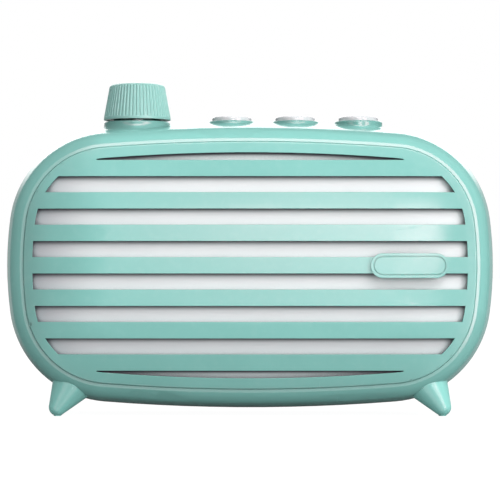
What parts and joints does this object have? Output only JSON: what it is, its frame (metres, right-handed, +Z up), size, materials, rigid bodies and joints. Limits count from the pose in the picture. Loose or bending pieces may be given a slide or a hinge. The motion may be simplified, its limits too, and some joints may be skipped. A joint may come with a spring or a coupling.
{
  "type": "transistor pocket radio",
  "caption": "Compact transistor radio with a wrap-around rounded case, horizontal bar grille, fluted top knob, three push buttons, splayed feet and a rear battery door.",
  "frame": {"origin": "on the floor plane through the foot pads, under the middle of the case", "axes": "+Z up, front grille faces -Y, +X to the right of someone facing the grille"},
  "size_m": [0.1452, 0.0397, 0.099],
  "materials": {
    "mint_plastic": "glossy moulded mint plastic",
    "white_plastic": "glossy white plastic",
    "grille_cloth": "fine white speaker cloth",
    "rubber": "matte black rubber",
    "dark_plastic": "black moulded plastic",
    "hardboard": "pressed brown hardboard",
    "steel": "plain zinc plated steel",
    "ferrite": "dark grey ferrite",
    "cone_paper": "pressed black paper",
    "copper": "enamelled copper wire",
    "board_green": "green printed board with solder mask",
    "battery_shell": "lacquered steel cell shell",
    "resistor_body": "beige lacquer",
    "wire_red": "flexible plastic insulation"
  },
  "bodies": {
    "case": {"antenna_coil": "copper", "baffle_board": "hardboard", "baffle_screws": "steel", "batteries": "battery_shell", "battery_contacts": "steel", "battery_springs": "steel", "battery_tray": "dark_plastic", "battery_wires": "wire_red", "board_screws": "steel", "board_spacers": "dark_plastic", "cabinet": "mint_plastic", "chips": "dark_plastic", "cloth_frame": "dark_plastic", "control_board": "board_green", "control_board_screws": "steel", "earphone_jack": "dark_plastic", "electrolytics": "dark_plastic", "ferrite_rod": "ferrite", "foot_front_left": "mint_plastic", "foot_front_right": "mint_plastic", "foot_pads": "rubber", "foot_rear_left": "mint_plastic", "foot_rear_right": "mint_plastic", "foot_screws": "steel", "grille_cloth": "grille_cloth", "grille_panel": "mint_plastic", "if_cans": "steel", "jack_nut": "steel", "main_board": "board_green", "nameplate": "mint_plastic", "pot_nut": "steel", "pot_pins": "steel", "rear_cover": "mint_plastic", "rear_cover_screws": "steel", "resistors": "resistor_body", "rod_holders": "dark_plastic", "speaker_frame": "steel", "speaker_gasket": "rubber", "speaker_magnet": "ferrite", "speaker_screws": "steel", "speaker_surround": "rubber", "speaker_wires": "wire_red", "tact_switches": "dark_plastic", "tuning_slugs": "ferrite", "volume_pot": "steel"},
    "knob": {"volume_knob": "mint_plastic", "pot_shaft": "steel"},
    "button_down": {"tune_down_button": "white_plastic", "tune_down_plunger": "dark_plastic"},
    "button_band": {"band_button": "white_plastic", "band_plunger": "dark_plastic"},
    "button_up": {"tune_up_button": "white_plastic", "tune_up_plunger": "dark_plastic"},
    "door": {"battery_door": "mint_plastic", "battery_door_pins": "steel"},
    "cone": {"speaker_cone": "cone_paper", "dust_cap": "cone_paper", "voice_coil": "copper"}
  },
  "joints": [
    {"name": "volume_turn", "type": "hinge", "parent": "case", "child": "knob", "pos_m": [-0.0338, 0, 0.0879], "axis": [0, 0, -1], "range_deg": [-150, 150]},
    {"name": "tune_down_press", "type": "slide", "parent": "case", "child": "button_down", "axis": [0, 0, -1], "range_m": [0, 0.0008], "stiffness_N_per_m": 150, "springref_m": -0.0004},
    {"name": "band_press", "type": "slide", "parent": "case", "child": "button_band", "axis": [0, 0, -1], "range_m": [0, 0.0008], "stiffness_N_per_m": 150, "springref_m": -0.0004},
    {"name": "tune_up_press", "type": "slide", "parent": "case", "child": "button_up", "axis": [0, 0, -1], "range_m": [0, 0.0008], "stiffness_N_per_m": 150, "springref_m": -0.0004},
    {"name": "battery_door_swing", "type": "hinge", "parent": "case", "child": "door", "pos_m": [0.0235, 0.0183, 0.0169], "axis": [-1, 0, 0], "range_deg": [0, 100]},
    {"name": "cone_travel", "type": "slide", "parent": "case", "child": "cone", "axis": [0, -1, 0], "range_m": [-0.0004, 0.0004], "stiffness_N_per_m": 200}
  ]
}
